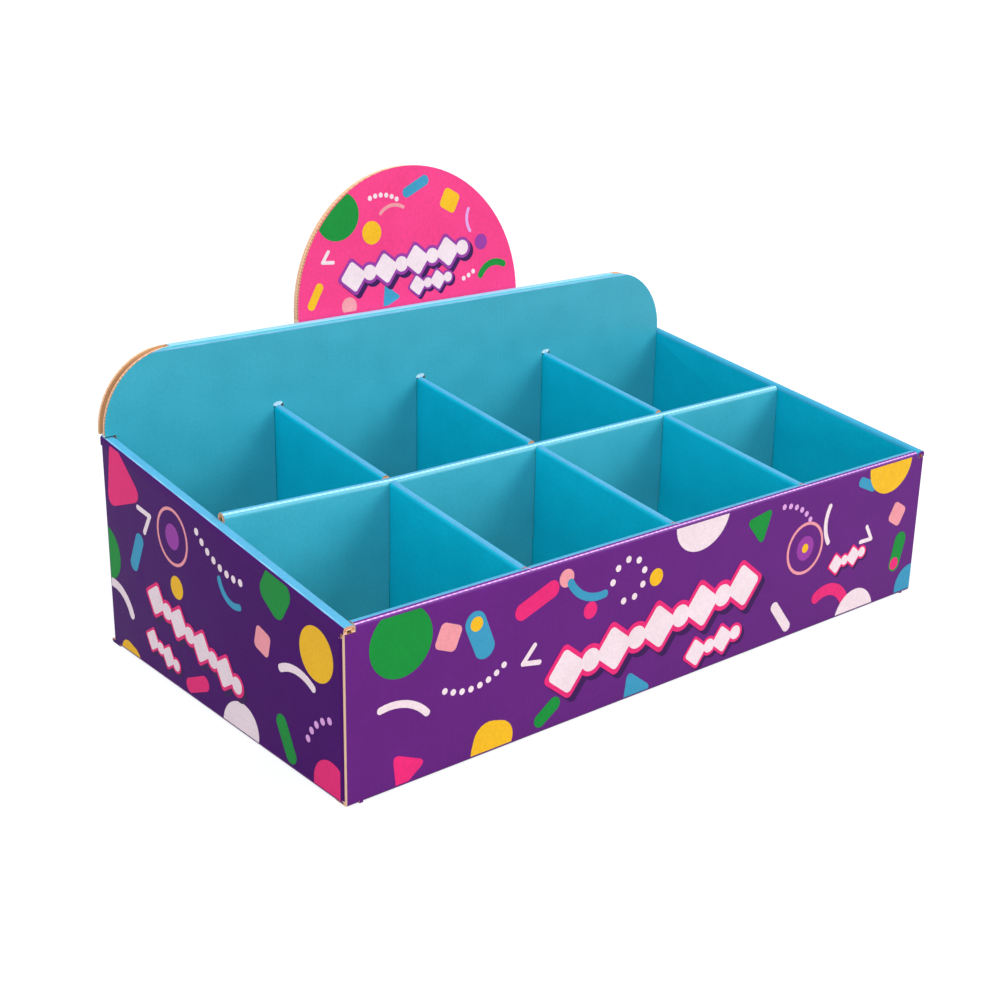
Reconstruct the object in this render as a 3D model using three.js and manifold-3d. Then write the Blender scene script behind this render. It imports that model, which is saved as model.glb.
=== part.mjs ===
// Counter display box of printed corrugated board: a roll-over tray with double walls and a
// raised back, eight compartments made by slotted dividers, and a half-round header card.
// Millimetres, +Z up. The front faces -Y and the longest side runs along X.
import * as THREE from 'three';
import { mergeVertices } from 'three/addons/utils/BufferGeometryUtils.js';
import Module from 'manifold-3d';

const wasm = await Module();
wasm.setup();

// Outside of the tray
const width = 400;
const depth = 218;
const frontHeight = 86;
const sideBackHeight = 116;
const backHeight = 157;
const backCornerRadius = 40;

// Board, folds and the air between plies
const board = 1.8;
const foldRadius = 1.8;
const foldGap = 0.3;
const wallCavity = 2.4;
const backCavity = 4;
const baseFoldReach = 9;

// Corner flaps that turn off the side walls into the front and back walls
const flapLength = 62;
const flapDrop = 6;
const flapTaper = 8;
const rawEdgeInset = 0.6;
const backEdgeInset = 2.6;

// Locks of the inner plies in the base
const lockTabWidth = 34;
const lockTabTipLift = 0.3;

// Dividers
const columns = 4;
const crossThickness = 5.2;
const longThickness = 6;
const slotHeight = 48;
const slotClearance = 0.4;
const endTabBottom = 22;
const endTabTop = 62;
const longEndLift = 3;

// Header card
const headerRadius = 78;
const headerThickness = 4.6;
const headerLeanDegrees = 4.7;
const headerTailWidth = 112;
const headerTailLength = 72;
const headerTailCorner = 10;
const headerShoulder = 5;

// Fineness of the curves
const foldSteps = 4;
const crownSteps = 8;
const headerSteps = 48;
const cornerSteps = 14;

// Sizes that follow
const halfWidth = width / 2;
const halfDepth = depth / 2;
const wall = 2 * board + wallCavity;
const backWall = 2 * board + backCavity;
const innerFoot = board + foldGap;
const slope = (sideBackHeight - frontHeight) / depth;
const innerLeft = halfWidth - wall;
const innerFront = -halfDepth + wall;
const innerBack = halfDepth - backWall;
const sideEndFront = -halfDepth + board + foldGap;
const sideEndBack = halfDepth - board - foldGap;
const pitch = (2 * innerLeft) / columns;
const longY = (innerFront + innerBack) / 2;
const headerLean = THREE.MathUtils.degToRad(headerLeanDegrees);
const headerReach = headerRadius * Math.sin(headerLean) + headerThickness * Math.cos(headerLean);
const far = 2 * (width + depth + backHeight);

function sideTop(y) {
  return frontHeight + slope * (y + halfDepth);
}

// Points of an arc in a section, from one angle to another in degrees
function arc(x, y, radius, from, to, steps = foldSteps) {
  const points = [];
  for (let i = 0; i <= steps; i += 1) {
    const angle = THREE.MathUtils.degToRad(from + ((to - from) * i) / steps);
    points.push([x + radius * Math.cos(angle), y + radius * Math.sin(angle)]);
  }
  return points;
}

function outline(points) {
  return new THREE.Shape(points.map(([x, y]) => new THREE.Vector2(x, y)));
}

// A solid for joining and cutting, from a closed three.js geometry
function solid(geometry) {
  const bare = geometry.clone();
  bare.deleteAttribute('uv');
  bare.deleteAttribute('normal');
  const merged = mergeVertices(bare, 1e-4);
  return new wasm.Manifold(new wasm.Mesh({
    numProp: 3,
    vertProperties: new Float32Array(merged.attributes.position.array),
    triVerts: new Uint32Array(merged.index.array),
  }));
}

function join(pieces) {
  return pieces.reduce((whole, piece) => whole.add(piece));
}

function block(x0, x1, y0, y1, z0, z1) {
  const geometry = new THREE.BoxGeometry(x1 - x0, y1 - y0, z1 - z0);
  geometry.translate((x0 + x1) / 2, (y0 + y1) / 2, (z0 + z1) / 2);
  return solid(geometry);
}

// A section drawn in Y and Z, run along X
function runAlongX(points, x0, x1, steps = 1) {
  const geometry = new THREE.ExtrudeGeometry(outline(points), {
    depth: x1 - x0, steps, bevelEnabled: false,
  });
  geometry.applyMatrix4(new THREE.Matrix4().set(0, 0, 1, x0, 1, 0, 0, 0, 0, 1, 0, 0, 0, 0, 0, 1));
  return geometry;
}

// A section drawn in X and Z, run along Y
function runAlongY(points, y0, y1) {
  const geometry = new THREE.ExtrudeGeometry(outline(points), { depth: y1 - y0, bevelEnabled: false });
  geometry.applyMatrix4(new THREE.Matrix4().set(1, 0, 0, 0, 0, 0, -1, y1, 0, 1, 0, 0, 0, 0, 0, 1));
  return geometry;
}

// An outline drawn in X and Y, raised from one height to another
function runAlongZ(points, z0, z1) {
  const geometry = new THREE.ExtrudeGeometry(outline(points), { depth: z1 - z0, bevelEnabled: false });
  geometry.translate(0, 0, z0);
  return geometry;
}

// Moves the upper points of a geometry up by an amount that depends on where they are
function raiseTop(geometry, above, lift) {
  const place = geometry.attributes.position;
  for (let i = 0; i < place.count; i += 1) {
    if (place.getZ(i) > above) {
      place.setZ(i, place.getZ(i) + lift(place.getX(i), place.getY(i)));
    }
  }
  return geometry;
}

// Section of a roll-over wall: the sheet rises from the base, folds over the top in two
// creases and comes down inside. The first number of a point is the way in from the outside.
function rollOverSection(cavity, height) {
  const thick = 2 * board + cavity;
  return [
    ...arc(foldRadius, foldRadius, foldRadius, 270, 180),
    ...arc(foldRadius, height - foldRadius, foldRadius, 180, 90),
    ...arc(thick - foldRadius, height - foldRadius, foldRadius, 90, 0),
    [thick, innerFoot],
    [thick - board, innerFoot],
    [thick - board, height - board],
    [board, height - board],
    [board, board],
    [baseFoldReach, board],
    [baseFoldReach, 0],
  ];
}

function placed(section, outside, inward) {
  return section.map(([s, z]) => [outside + inward * s, z]);
}

// Centres of the compartments along X and along Y, where the inner plies lock in the base
const columnCentres = Array.from({ length: columns }, (_, i) => -innerLeft + pitch * (i + 0.5));
const rowCentres = [(innerFront + longY) / 2, (longY + innerBack) / 2];
const crossPlaces = Array.from({ length: columns - 1 }, (_, i) => -innerLeft + pitch * (i + 1));

function frontWall() {
  const reach = halfWidth - rawEdgeInset;
  const run = solid(runAlongX(placed(rollOverSection(wallCavity, frontHeight), -halfDepth, 1), -reach, reach));
  const ends = [-1, 1].flatMap((side) => {
    const [x0, x1] = [side * (innerLeft - foldGap), side * far].sort((a, b) => a - b);
    return [
      block(x0, x1, -halfDepth + board, innerFront + 1, board, far),
      block(x0, x1, -far, innerFront + 1, frontHeight - 2 * board, far),
    ];
  });
  return run.subtract(join(ends));
}

function backWallPiece() {
  const section = placed(rollOverSection(backCavity, backHeight), halfDepth, -1);
  const run = solid(runAlongX(section, -halfWidth, halfWidth));
  const roundStart = halfWidth - backCornerRadius;
  const roundHeight = backHeight - backCornerRadius;
  const notchTop = sideTop(innerBack + board) + 2 * foldGap;
  const cuts = [-1, 1].flatMap((side) => {
    const corner = [
      [side * roundStart, far],
      ...arc(side * roundStart, roundHeight, backCornerRadius, 90, 90 - side * 90, cornerSteps),
      [side * far, roundHeight],
      [side * far, far],
    ];
    const [bandStart, bandEnd] = [side * roundStart, side * far].sort((a, b) => a - b);
    const [notchStart, notchEnd] = [side * (innerLeft - foldGap), side * far].sort((a, b) => a - b);
    const [edgeStart, edgeEnd] = [side * (halfWidth - backEdgeInset), side * far].sort((a, b) => a - b);
    return [
      solid(runAlongY(corner, innerBack - 1, halfDepth + 1)),
      block(bandStart, bandEnd, innerBack + board, halfDepth - board, backHeight - 2 * board, far),
      block(notchStart, notchEnd, innerBack - 1, halfDepth - board, board, notchTop),
      block(edgeStart, edgeEnd, halfDepth - board - foldGap, far, board, notchTop),
    ];
  });
  return run.subtract(join(cuts));
}

// One side wall with its two corner flaps; side is -1 for the left and 1 for the right
function sideWall(side) {
  const outside = side * halfWidth;
  const inward = -side;
  const section = placed(rollOverSection(wallCavity, frontHeight), outside, inward);
  const run = raiseTop(
    runAlongY(section, sideEndFront, sideEndBack),
    frontHeight / 2,
    (x, y) => slope * (y + halfDepth),
  );
  const along = (s) => outside + inward * s;
  const between = (a, b) => [along(a), along(b)].sort((p, q) => p - q);
  // Over the front wall's lowered corner the roll-over reaches the front face
  const overCorner = raiseTop(
    runAlongY(section, -halfDepth, sideEndFront + foldGap),
    frontHeight / 2,
    (x, y) => slope * (y + halfDepth),
  );
  const belowCorner = block(...between(-1, wall + 1), -far, innerFront, -1, frontHeight - 2 * board + foldGap);
  const pieces = [solid(overCorner).subtract(belowCorner)];
  const cuts = [];
  for (const end of [-1, 1]) {
    const face = end < 0 ? sideEndFront : sideEndBack;
    const flapTop = (end < 0 ? frontHeight : sideBackHeight) - flapDrop;
    const inEnd = (d) => face - end * d;
    const span = (a, b) => [inEnd(a), inEnd(b)].sort((p, q) => p - q);
    // The roll-over keeps its full length above the flap and stops short beside it
    cuts.push(block(...between(-1, board), ...span(-1, foldRadius), innerFoot, flapTop + foldGap));
    cuts.push(block(...between(board, wall + 1), ...span(-1, board + foldGap), board, flapTop + foldGap));
    // The rounded turn of the sheet and the flap that it leads to
    const turn = [
      [along(0), inEnd(foldRadius)],
      ...arc(foldRadius, foldRadius, foldRadius, 180, 270).map(([s, d]) => [along(s), inEnd(d)]),
      [along(2 * foldRadius), inEnd(0)],
      [along(2 * foldRadius), inEnd(board)],
      [along(board), inEnd(board)],
      [along(board), inEnd(foldRadius)],
    ];
    pieces.push(solid(runAlongZ(turn, innerFoot, flapTop)));
    const flap = [
      [along(foldRadius), innerFoot],
      [along(flapLength), innerFoot + flapTaper],
      [along(flapLength), flapTop - 2 * flapTaper],
      [along(flapLength - 2 * flapTaper), flapTop],
      [along(foldRadius), flapTop],
    ];
    pieces.push(solid(runAlongY(flap, ...span(0, board))));
  }
  return solid(run).subtract(join(cuts)).add(join(pieces));
}

// Tongues at the foot of the inner plies, and the slots in the base that take them
function locks(clearance) {
  const half = lockTabWidth / 2 + clearance;
  const bottom = clearance > 0 ? -1 : lockTabTipLift;
  const top = clearance > 0 ? board + foldGap / 2 : innerFoot + board;
  const tab = (x0, x1, y0, y1) => block(x0 - clearance, x1 + clearance, y0 - clearance, y1 + clearance, bottom, top);
  const along = columnCentres.flatMap((x) => [
    tab(x - half, x + half, innerFront - board, innerFront),
    tab(x - half, x + half, innerBack, innerBack + board),
  ]);
  const across = rowCentres.flatMap((y) => [
    tab(-innerLeft - board, -innerLeft, y - half, y + half),
    tab(innerLeft, innerLeft + board, y - half, y + half),
  ]);
  return join([...along, ...across]);
}

// Openings in the inner plies for the ends of the dividers
function dividerSlots() {
  const cross = crossThickness / 2 + slotClearance;
  const long = longThickness / 2 + slotClearance;
  const slots = crossPlaces.flatMap((x) => [
    block(x - cross, x + cross, innerFront - board - foldGap, innerFront + 1, endTabBottom - slotClearance, far),
    block(x - cross, x + cross, innerBack - 1, innerBack + board + foldGap,
      endTabBottom - slotClearance, sideTop(innerBack + board) + slotClearance),
  ]);
  for (const side of [-1, 1]) {
    const [x0, x1] = [side * (innerLeft - 1), side * (innerLeft + board + foldGap)].sort((a, b) => a - b);
    slots.push(block(x0, x1, longY - long, longY + long, endTabBottom - slotClearance, endTabTop + slotClearance));
  }
  return join(slots);
}

function tray() {
  const base = block(
    -halfWidth + foldRadius, halfWidth - foldRadius, -halfDepth + foldRadius, halfDepth - foldRadius, 0, board,
  );
  const folded = join([base, frontWall(), backWallPiece(), sideWall(-1), sideWall(1)]);
  return folded.subtract(locks(foldGap)).add(locks(0)).subtract(dividerSlots());
}

// Section of a divider folded double, with the fold on top; the first number of a point
// is the way out from the middle plane
function foldedSection(thickness, height) {
  const outer = thickness / 2;
  const inner = outer - board;
  return [
    [-outer, board],
    ...arc(0, height - outer, outer, 180, 0, crownSteps),
    [outer, board],
    [inner, board],
    ...arc(0, height - outer, inner, 0, 180, crownSteps),
    [-inner, board],
  ];
}

function crossDivider(x) {
  const front = innerFront - board;
  const back = innerBack + board;
  const section = placed(foldedSection(crossThickness, frontHeight), x, 1);
  const run = solid(raiseTop(runAlongY(section, front, back), frontHeight / 2, (_, y) => slope * (y + halfDepth)));
  const reach = crossThickness / 2 + 1;
  const half = longThickness / 2 + slotClearance;
  return run.subtract(join([
    block(x - reach, x + reach, longY - half, longY + half, slotHeight, far),
    block(x - reach, x + reach, front - 1, innerFront + foldGap, 0, endTabBottom),
    block(x - reach, x + reach, innerBack - foldGap, back + 1, 0, endTabBottom),
  ]));
}

function longDivider() {
  const reach = innerLeft + board;
  const section = foldedSection(longThickness, sideTop(longY)).map(([s, z]) => [longY + s, z]);
  const lift = (x) => longEndLift * Math.max(0, (-x - pitch) / pitch);
  const run = solid(raiseTop(runAlongX(section, -reach, reach, columns), frontHeight / 2, lift));
  const wide = longThickness / 2 + 1;
  const half = crossThickness / 2 + slotClearance;
  const slots = crossPlaces.map((x) => (
    block(x - half, x + half, longY - wide, longY + wide, 0, slotHeight + foldGap)
  ));
  const ends = [-1, 1].flatMap((side) => {
    const [x0, x1] = [side * (innerLeft - foldGap), side * far].sort((a, b) => a - b);
    return [
      block(x0, x1, longY - wide, longY + wide, 0, endTabBottom),
      block(x0, x1, longY - wide, longY + wide, endTabTop, far),
    ];
  });
  return run.subtract(join([...slots, ...ends]));
}

// The card stands behind the back wall: its tail and shoulder lie flat against the wall and
// its half-round head leans back from the top of the wall
function headerCard() {
  const half = headerTailWidth / 2;
  const tail = [
    [half, headerTailCorner],
    ...arc(half - headerTailCorner, -headerTailLength + headerTailCorner, headerTailCorner, 0, -90),
    ...arc(-half + headerTailCorner, -headerTailLength + headerTailCorner, headerTailCorner, -90, -180),
    [-half, headerTailCorner],
  ];
  const head = arc(0, 0, headerRadius, 0, 180, headerSteps);
  const headGeometry = runAlongY(head, 0, headerThickness);
  headGeometry.rotateX(-headerLean);
  headGeometry.translate(0, halfDepth, backHeight);
  const tailGeometry = runAlongY(tail, halfDepth, halfDepth + headerThickness);
  tailGeometry.translate(0, 0, backHeight);
  const overlap = block(-half - 1, half + 1, halfDepth - 1, halfDepth + headerThickness + 1, backHeight, far);
  const shoulder = block(
    -headerRadius, headerRadius, halfDepth, halfDepth + headerThickness, backHeight - headerShoulder, backHeight,
  );
  return join([solid(headGeometry), solid(tailGeometry).subtract(overlap), shoulder]);
}

function mesh(name, shape, colour) {
  const got = shape.getMesh();
  const geometry = new THREE.BufferGeometry();
  geometry.setAttribute('position', new THREE.BufferAttribute(new Float32Array(got.vertProperties), got.numProp));
  geometry.setIndex(new THREE.BufferAttribute(new Uint32Array(got.triVerts), 1));
  geometry.computeVertexNormals();
  const material = new THREE.MeshStandardMaterial({ color: colour, roughness: 0.4, metalness: 0 });
  const made = new THREE.Mesh(geometry, material);
  made.name = name;
  return made;
}

const purple = 0x6b2a86;
const blue = 0x4ca6c4;
const pink = 0xff3e82;

// The header card reaches behind the tray, so the tray stands forward of the middle
const box = new THREE.Group();
box.position.y = -headerReach / 2;
box.add(mesh('tray', tray(), purple));
box.add(mesh('header_card', headerCard(), pink));
box.add(mesh('long_divider', longDivider(), blue));
crossPlaces.forEach((x, i) => {
  box.add(mesh(`cross_divider_${i + 1}`, crossDivider(x), blue));
});

export default box;
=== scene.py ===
"""Counter display box of printed corrugated board, laid out as an add-on and run as a script.

The sheets are worked up from merged copies of the construction's pieces: print outside, kraft
inside, raw fluted edges. The print is drawn panel by panel as thin layers of ink.
"""

import math

import bmesh
import bpy
from mathutils import Matrix, Vector


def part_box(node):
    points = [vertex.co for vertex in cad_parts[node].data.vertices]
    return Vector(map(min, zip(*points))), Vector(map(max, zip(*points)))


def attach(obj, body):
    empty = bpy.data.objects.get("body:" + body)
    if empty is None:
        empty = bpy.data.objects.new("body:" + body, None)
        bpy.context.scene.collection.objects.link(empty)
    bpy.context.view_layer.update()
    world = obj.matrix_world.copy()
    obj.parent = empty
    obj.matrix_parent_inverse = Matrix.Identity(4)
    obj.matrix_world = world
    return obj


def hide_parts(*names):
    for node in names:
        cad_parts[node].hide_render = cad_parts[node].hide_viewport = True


bl_info = {
    "name": "Counter Display Box",
    "version": (1, 0, 0),
    "blender": (4, 5, 0),
    "location": "View3D > Sidebar > Display Box",
    "description": "Builds an open counter display box of printed corrugated board",
    "category": "Add Mesh",
}

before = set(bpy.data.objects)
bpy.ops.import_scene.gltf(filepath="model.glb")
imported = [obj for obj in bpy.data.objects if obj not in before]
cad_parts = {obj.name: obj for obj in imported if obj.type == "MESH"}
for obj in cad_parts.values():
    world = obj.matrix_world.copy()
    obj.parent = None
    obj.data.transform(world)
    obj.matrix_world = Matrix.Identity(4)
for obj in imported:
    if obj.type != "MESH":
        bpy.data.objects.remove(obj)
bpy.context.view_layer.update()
MM = 0.001
TRAY_LOW, TRAY_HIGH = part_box("tray")
FRONT_Y = TRAY_LOW.y
BACK_Y = TRAY_HIGH.y
HALF_WIDTH = TRAY_HIGH.x
BACK_TOP = TRAY_HIGH.z
FRONT_TOP = 86 * MM
SIDE_BACK_TOP = 116 * MM
SLOPE = (SIDE_BACK_TOP - FRONT_TOP) / (BACK_Y - FRONT_Y)
BACK_CORNER = 40 * MM
HEADER_LEAN = math.radians(4.7)
HEADER_RADIUS = 78 * MM
HEADER_THICKNESS = 4.6 * MM
# Where the purple ends on the front wall's top, as a share of its thickness
FRONT_SPLIT = 0.4
# A bend between two outside faces lies within this reach of them
BEND_REACH = 2.2 * MM
# Cut edges lower than this stand in the base and stay plain
FOOT_HEIGHT = 8 * MM
SLACK = 0.1 * MM


def linear(code):
    """An sRGB hex colour as the linear numbers that Blender works in."""
    parts = [int(code[i:i + 2], 16) / 255 for i in (0, 2, 4)]
    return tuple(p / 12.92 if p <= 0.04045 else ((p + 0.055) / 1.055) ** 2.4 for p in parts)


def colour_property(name, description, code):
    return bpy.props.FloatVectorProperty(
        name=name, description=description, subtype="COLOR", size=3, min=0, max=1, default=linear(code))


def length_property(name, description, value):
    return bpy.props.FloatProperty(
        name=name, description=description, unit="LENGTH", precision=5, min=0, default=value)


def level_property(name, description, value):
    return bpy.props.FloatProperty(name=name, description=description, min=0, default=value)


class BoardSizes(bpy.types.PropertyGroup):
    """Sizes of the corrugated board and of what is printed on it."""

    ply: length_property("Ply", "Thickness of one ply of the board", 1.8 * MM)
    liner: length_property("Liner", "Thickness of the paper on each side of the flutes", 0.28 * MM)
    flute_pitch: length_property("Flute pitch", "Distance from one flute to the next", 3.3 * MM)
    wall: length_property("Wall", "Thickness of a doubled front or side wall", 6 * MM)
    back_wall: length_property("Back wall", "Thickness of the doubled back wall", 7.6 * MM)
    fold: length_property("Fold radius", "Outer radius of a fold in the board", 1.8 * MM)
    core_depth: length_property("Core depth", "How far the cut flutes lie behind the liners", 0.2 * MM)
    ink: length_property("Ink", "Height of one layer of the print", 0.05 * MM)


class PrintColours(bpy.types.PropertyGroup):
    """Colours of the print and of the bare board."""

    purple: colour_property("Purple", "Ground colour of the front and the back", "661C7A")
    # Painted shade: the sides carry the front's purple, painted darker here for the shade on them
    shaded_purple: colour_property("Shaded purple", "Ground colour of the sides", "4A0E64")
    # Painted light: the inside blue, made a little greyer by a painted sheen for the faces turned towards the
    # light
    blue: colour_property("Blue", "Colour of the inside and of the long divider", "38AABD")
    # Painted shade: faces turned from the key light carry the inside blue painted deeper and more saturated,
    # for their shade and the light bounced between blue walls
    shaded_blue: colour_property("Shaded blue", "Colour of the inner sides and of the cross dividers", "04AEC8")
    band: colour_property("Band blue", "Colour of the folded top edges", "52A6C8")
    # Painted shade: the right side's folded top is the same blue as the other folded tops, painted darker
    shaded_far_band: colour_property("Shaded far band", "Colour of the right side's folded top", "309EBE")
    pink: colour_property("Pink", "Ground colour of the header card", "FF3F84")
    # Cracked film on the creases, with a painted highlight along them
    crack_and_highlight: colour_property("Crack and highlight", "Stretched film on the purple creases", "F0B4FA")
    blue_crack_and_highlight: colour_property("Blue crack and highlight", "Stretched film on the blue creases", "B4E6FB")
    yellow: colour_property("Yellow", "Print colour", "FFBC1E")
    green: colour_property("Green", "Print colour", "108E36")
    sky: colour_property("Sky", "Print colour", "3C98BA")
    magenta: colour_property("Magenta", "Print colour", "EE2673")
    salmon: colour_property("Salmon", "Print colour", "F59AA0")
    cream: colour_property("Cream", "Print colour", "FADEE0")
    lilac: colour_property("Lilac", "Print colour", "E9A6E0")
    plum: colour_property("Plum", "Print colour", "9C3A9E")
    scuff: colour_property("Scuff", "Film torn at a slot", "C4E4EE")
    shade: colour_property("Shade", "Dark print under the garlands", "3A1252")
    kraft: colour_property("Kraft", "Bare inner liner", "E2AC7A")
    # Painted light and shade: the cut flutes are painted darker on an inner or a front ply for its shade, and
    # lighter on an outer ply where it catches the light
    core: colour_property("Core", "Cut flutes", "C08050")
    core_in_painted_light: colour_property("Core in painted light", "Cut flutes of an outer ply", "DCAE84")
    edge: colour_property("Edge", "Cut liners", "FFC8A4")


class StudioLevels(bpy.types.PropertyGroup):
    """Strengths of the lights."""

    key: level_property("Key", "Soft sun from the front right", 1.5)
    fill: level_property("Fill", "Soft steep sun from the front left", 2.05)
    world: level_property("World", "Even light from all round", 0.66)


def add_node(tree, kind, inputs=None, **settings):
    """One node with its settings, its values and its links."""
    made = tree.nodes.new(kind)
    for name, value in settings.items():
        setattr(made, name, value)
    for name, value in (inputs or {}).items():
        if isinstance(value, bpy.types.NodeSocket):
            tree.links.new(value, made.inputs[name])
        else:
            made.inputs[name].default_value = value
    return made


def new_material(name):
    """An empty material with its surface shader and its coordinates."""
    material = bpy.data.materials.new(name)
    material.use_nodes = True
    tree = material.node_tree
    tree.nodes.clear()
    surface = add_node(tree, "ShaderNodeBsdfPrincipled")
    add_node(tree, "ShaderNodeOutputMaterial", {"Surface": surface.outputs["BSDF"]})
    place = add_node(tree, "ShaderNodeTexCoord").outputs["Object"]
    return material, tree, surface, place


def rgba(colour, factor=1.0):
    return tuple(min(1.0, part * factor) for part in colour) + (1.0,)


# A wave of scale 1 in bands repeats every tenth of pi
WAVE_LENGTH = math.pi / 10


def wave_scale(length):
    return WAVE_LENGTH / length


def film_relief(tree, place, flutes):
    """Height of a laminated sheet: the flutes show through faintly, and the film has a fine peel."""
    pitch = bpy.context.scene.board_sizes.flute_pitch
    washboard = add_node(tree, "ShaderNodeTexWave", {
        "Vector": place, "Scale": wave_scale(pitch), "Distortion": 0.6, "Detail": 1.0, "Detail Scale": 0.4,
    }, bands_direction=flutes)
    # Film peel is about 0.3 mm across, drawn at 1.2 mm so that it shows
    peel = add_node(tree, "ShaderNodeTexNoise", {"Vector": place, "Scale": 1 / (1.2 * MM), "Detail": 2.0})
    sag = add_node(tree, "ShaderNodeTexNoise", {"Vector": place, "Scale": 1 / (38 * MM), "Detail": 1.0})
    waves = add_node(tree, "ShaderNodeBump", {
        "Height": washboard.outputs["Fac"], "Strength": 0.5, "Distance": 0.02 * MM})
    rough = add_node(tree, "ShaderNodeBump", {
        "Height": peel.outputs["Fac"], "Strength": 0.35, "Distance": 0.05 * MM,
        "Normal": waves.outputs["Normal"]})
    return add_node(tree, "ShaderNodeBump", {
        "Height": sag.outputs["Fac"], "Strength": 0.6, "Distance": 1.2 * MM, "Normal": rough.outputs["Normal"]})


def printed_film(name, colour, flutes="X", gloss=0.2):
    """Litho print under gloss film on E-flute: clean colour, a soft sheen and a faint washboard."""
    material, tree, surface, place = new_material(name)
    # Uneven ink and board show as patches of about 20 mm
    mottle = add_node(tree, "ShaderNodeTexNoise", {"Vector": place, "Scale": 1 / (20 * MM), "Detail": 3.0})
    grain = add_node(tree, "ShaderNodeTexNoise", {"Vector": place, "Scale": 1 / (1.6 * MM), "Detail": 2.0})
    tone = add_node(tree, "ShaderNodeMix", {
        0: mottle.outputs["Fac"], 6: rgba(colour, 0.9), 7: rgba(colour, 1.1)}, data_type="RGBA")
    fleck = add_node(tree, "ShaderNodeMapRange", {
        "Value": grain.outputs["Fac"], "From Min": 0.3, "From Max": 0.7, "To Min": 0.94, "To Max": 1.04})
    shaded = add_node(tree, "ShaderNodeVectorMath", {
        0: tone.outputs[2], "Scale": fleck.outputs["Result"]}, operation="SCALE")
    sheen = add_node(tree, "ShaderNodeMapRange", {
        "Value": mottle.outputs["Fac"], "From Min": 0.3, "From Max": 0.7, "To Min": 0.33, "To Max": 0.42})
    relief = film_relief(tree, place, flutes)
    tree.links.new(shaded.outputs["Vector"], surface.inputs["Base Color"])
    tree.links.new(sheen.outputs["Result"], surface.inputs["Roughness"])
    tree.links.new(relief.outputs["Normal"], surface.inputs["Normal"])
    surface.inputs["IOR"].default_value = 1.49
    surface.inputs["Specular IOR Level"].default_value = gloss
    return material


def worn_crease_with_highlight(name, colour, crack_and_highlight, along="X", least=0.3, most=1.0):
    """Gloss film stretched over a fold: it pales along the fold, most where it crosses a flute; the pale is
    cracked film and a painted highlight.
    """
    material, tree, surface, place = new_material(name)
    pitch = bpy.context.scene.board_sizes.flute_pitch
    marks = add_node(tree, "ShaderNodeTexWave", {
        "Vector": place, "Scale": wave_scale(pitch), "Distortion": 1.2, "Detail": 2.0, "Detail Scale": 1.5,
    }, bands_direction=along)
    patches = add_node(tree, "ShaderNodeTexNoise", {"Vector": place, "Scale": 1 / (9 * MM), "Detail": 3.0})
    both = add_node(tree, "ShaderNodeMath", {
        0: marks.outputs["Fac"], 1: patches.outputs["Fac"]}, operation="ADD")
    fade = add_node(tree, "ShaderNodeMapRange", {
        "Value": both.outputs["Value"], "From Min": 0.5, "From Max": 1.4, "To Min": least, "To Max": most})
    tone = add_node(tree, "ShaderNodeMix", {
        0: fade.outputs["Result"], 6: rgba(colour), 7: rgba(crack_and_highlight)}, data_type="RGBA")
    tree.links.new(tone.outputs[2], surface.inputs["Base Color"])
    surface.inputs["Roughness"].default_value = 0.5
    surface.inputs["IOR"].default_value = 1.49
    surface.inputs["Specular IOR Level"].default_value = 0.25
    return material


def kraft_liner(name, colour):
    """Unprinted kraft paper: matt, with short fibres and a faint washboard."""
    material, tree, surface, place = new_material(name)
    stretch = add_node(tree, "ShaderNodeMapping", {"Vector": place, "Scale": (1.0, 4.0, 4.0)})
    # Paper fibres are about 2 mm long
    fibres = add_node(tree, "ShaderNodeTexNoise", {
        "Vector": stretch.outputs["Vector"], "Scale": 1 / (2 * MM), "Detail": 4.0, "Roughness": 0.7})
    tone = add_node(tree, "ShaderNodeMix", {
        0: fibres.outputs["Fac"], 6: rgba(colour, 0.78), 7: rgba(colour, 1.2)}, data_type="RGBA")
    bump = add_node(tree, "ShaderNodeBump", {
        "Height": fibres.outputs["Fac"], "Strength": 0.5, "Distance": 0.1 * MM})
    tree.links.new(tone.outputs[2], surface.inputs["Base Color"])
    tree.links.new(bump.outputs["Normal"], surface.inputs["Normal"])
    surface.inputs["Roughness"].default_value = 0.85
    surface.inputs["Specular IOR Level"].default_value = 0.25
    return material


def cut_flutes(name, hollow_shade, light):
    """Corrugated board cut across: arches of brown medium between the liners, one for each flute, with painted
    shade in the hollows between them.
    """
    material, tree, surface, place = new_material(name)
    pitch = bpy.context.scene.board_sizes.flute_pitch
    arches = add_node(tree, "ShaderNodeTexWave", {
        "Vector": place, "Scale": 2 * wave_scale(pitch), "Distortion": 3.0, "Detail": 2.0, "Detail Scale": 1.2,
    }, bands_direction="Z")
    fray = add_node(tree, "ShaderNodeTexNoise", {"Vector": place, "Scale": 1 / (1.1 * MM), "Detail": 3.0})
    depth = add_node(tree, "ShaderNodeMath", {
        0: arches.outputs["Fac"], 1: fray.outputs["Fac"]}, operation="MULTIPLY")
    spread = add_node(tree, "ShaderNodeMapRange", {
        "Value": depth.outputs["Value"], "From Min": 0.0, "From Max": 0.9})
    # Darker between the arches: painted shade in the hollow flutes
    tone = add_node(tree, "ShaderNodeMix", {
        0: spread.outputs["Result"], 6: rgba(hollow_shade), 7: rgba(light)}, data_type="RGBA")
    bump = add_node(tree, "ShaderNodeBump", {
        "Height": depth.outputs["Value"], "Strength": 0.5, "Distance": 0.2 * MM})
    tree.links.new(tone.outputs[2], surface.inputs["Base Color"])
    tree.links.new(bump.outputs["Normal"], surface.inputs["Normal"])
    surface.inputs["Roughness"].default_value = 0.95
    surface.inputs["Specular IOR Level"].default_value = 0.2
    return material


def material_once(name, make, *arguments, **settings):
    """The material of that name, made the first time it is asked for."""
    return bpy.data.materials.get(name) or make(name, *arguments, **settings)


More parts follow.
